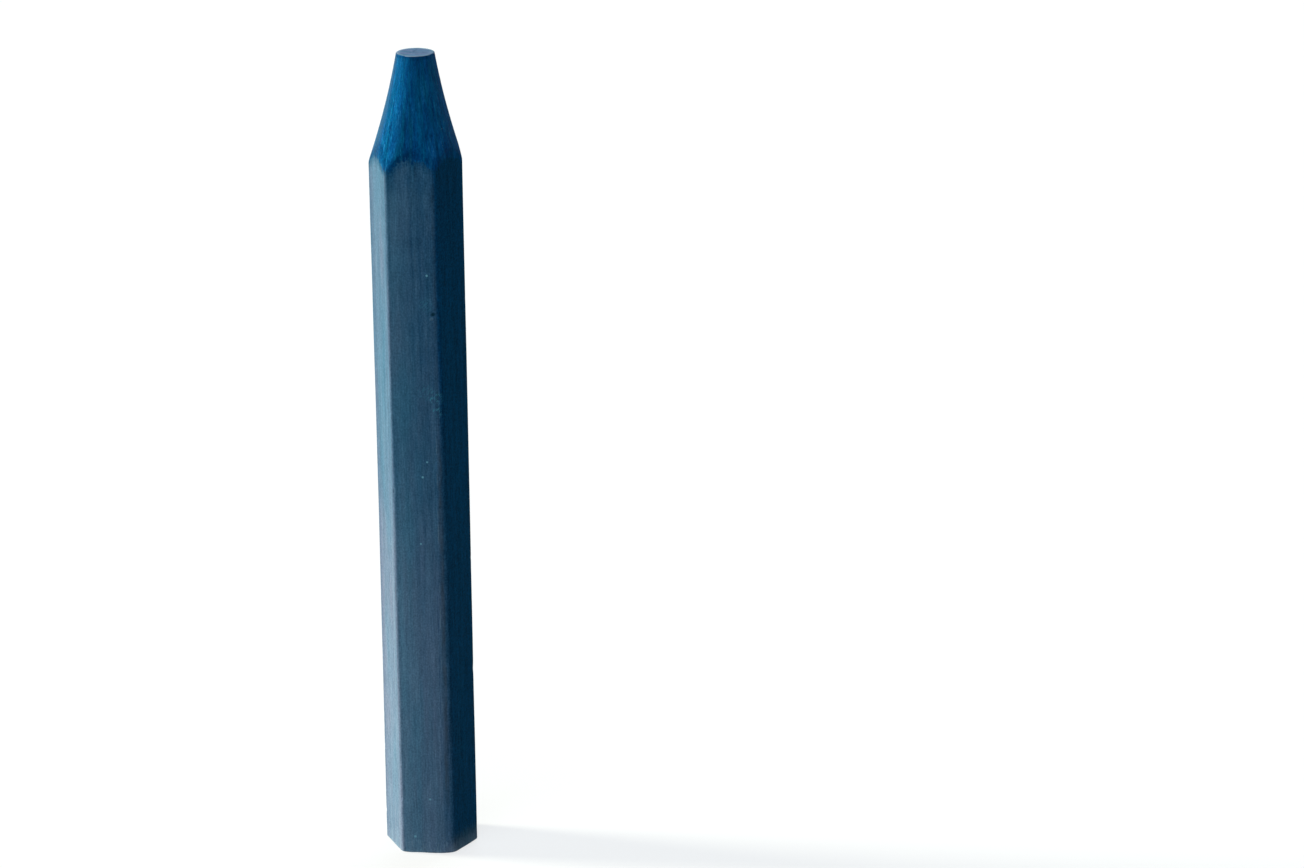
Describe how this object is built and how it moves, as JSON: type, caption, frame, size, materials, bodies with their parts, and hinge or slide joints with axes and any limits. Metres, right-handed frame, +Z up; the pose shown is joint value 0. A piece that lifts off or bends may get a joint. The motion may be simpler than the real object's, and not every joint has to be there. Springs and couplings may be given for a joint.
{
  "type": "chalk stick",
  "caption": "Hexagonal marking chalk stick, a solid bar with a hollow-ground point cut flat at the tip, for writing on timber, stone or metal.",
  "frame": {"origin": "centre of the square-cut base, on the surface that the stick stands on", "axes": "+Z up the stick from the base to the flat tip; +Y and -Y out of two opposite flats; +X and -X through two opposite corners"},
  "size_m": [0.0138, 0.012, 0.12],
  "materials": {
    "chalk": "dry, matt marking chalk dyed dark blue: dusty pressed skin on the flats, brighter freshly cut blue on the point"
  },
  "bodies": {
    "root": {"chalk_stick": "chalk"}
  },
  "joints": []
}
